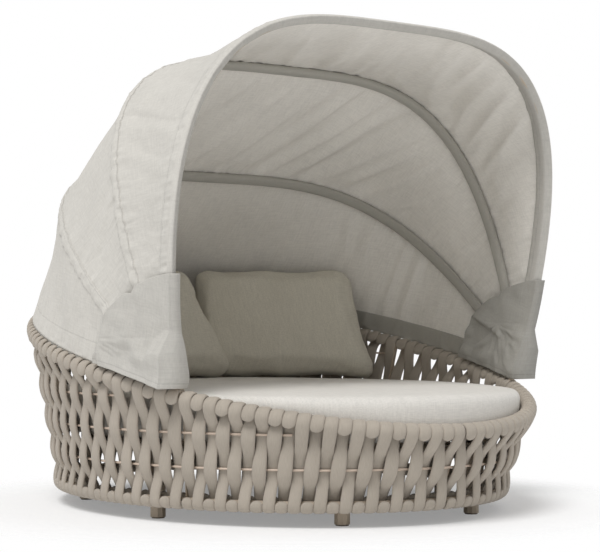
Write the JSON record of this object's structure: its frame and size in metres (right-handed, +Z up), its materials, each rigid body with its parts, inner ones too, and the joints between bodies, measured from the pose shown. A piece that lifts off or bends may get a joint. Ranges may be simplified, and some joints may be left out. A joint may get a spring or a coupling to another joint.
{
  "type": "outdoor daybed with canopy",
  "caption": "Round-ended outdoor daybed: basket of woven padded straps on a welded frame with round legs, seat cushion, back pillows and a fabric hood that folds back on nested bows.",
  "frame": {"origin": "on the floor, under the middle of the whole object's outline", "axes": "+Z up; -Y to the open front, where a person gets in; +X to the sitter's left"},
  "size_m": [1.6774, 2.0002, 1.6189],
  "materials": {
    "strap": "matte",
    "wire": "satin",
    "frame": "satin",
    "glide": "matte",
    "bolt": "satin",
    "seat": "matte",
    "pillow": "matte",
    "canopy": "matte"
  },
  "bodies": {
    "basket": {"rim_tube_front": "frame", "bottom_ring_front": "frame", "rim_tube_rear": "frame", "bottom_ring_rear": "frame", "wire_1_front": "wire", "wire_1_rear": "wire", "wire_2": "wire", "wire_3": "wire", "wire_4": "wire", "wire_5": "wire", "strap_wall_1": "strap", "strap_wall_2": "strap", "strap_wall_3": "strap", "strap_wall_4": "strap", "strap_wall_5": "strap", "strap_wall_6": "strap", "strap_wall_7": "strap", "upright_1": "frame", "upright_2": "frame", "upright_3": "frame", "upright_4": "frame", "upright_5": "frame", "upright_6": "frame", "upright_7": "frame", "slat_deck": "frame", "leg_1": "frame", "glide_1": "glide", "leg_2": "frame", "glide_2": "glide", "leg_3": "frame", "glide_3": "glide", "leg_4": "frame", "glide_4": "glide", "leg_5": "frame", "glide_5": "glide", "leg_6": "frame", "glide_6": "glide", "leg_7": "frame", "glide_7": "glide", "seat_cushion": "seat", "back_pillow_right": "pillow", "back_pillow_middle": "pillow", "rear_bow": "frame", "canopy_bracket_right": "frame", "pivot_bolt_right": "bolt", "canopy_bracket_left": "frame", "pivot_bolt_left": "bolt", "canopy_rear_panel": "canopy", "pivot_boot_right": "canopy", "pivot_boot_left": "canopy"},
    "front_bow_group": {"front_bow": "frame", "canopy_front_panel": "canopy"},
    "middle_bow_group": {"middle_bow": "frame", "canopy_middle_panel": "canopy"}
  },
  "joints": [
    {"name": "middle_bow_fold", "type": "hinge", "parent": "basket", "child": "middle_bow_group", "pos_m": [-0.00067, -0.46597, 0.46219], "axis": [-1, 0, 0], "range_deg": [0, 23.6], "deforming": ["canopy_middle_panel", "pivot_boot_right", "pivot_boot_left"]},
    {"name": "front_bow_fold", "type": "hinge", "parent": "middle_bow_group", "child": "front_bow_group", "pos_m": [-0.00067, -0.46597, 0.46219], "axis": [-1, 0, 0], "range_deg": [0, 24.4], "deforming": ["canopy_front_panel"]}
  ],
  "couplings": [
    {"joint": "front_bow_fold", "follows": "middle_bow_fold", "ratio": 1.03}
  ]
}
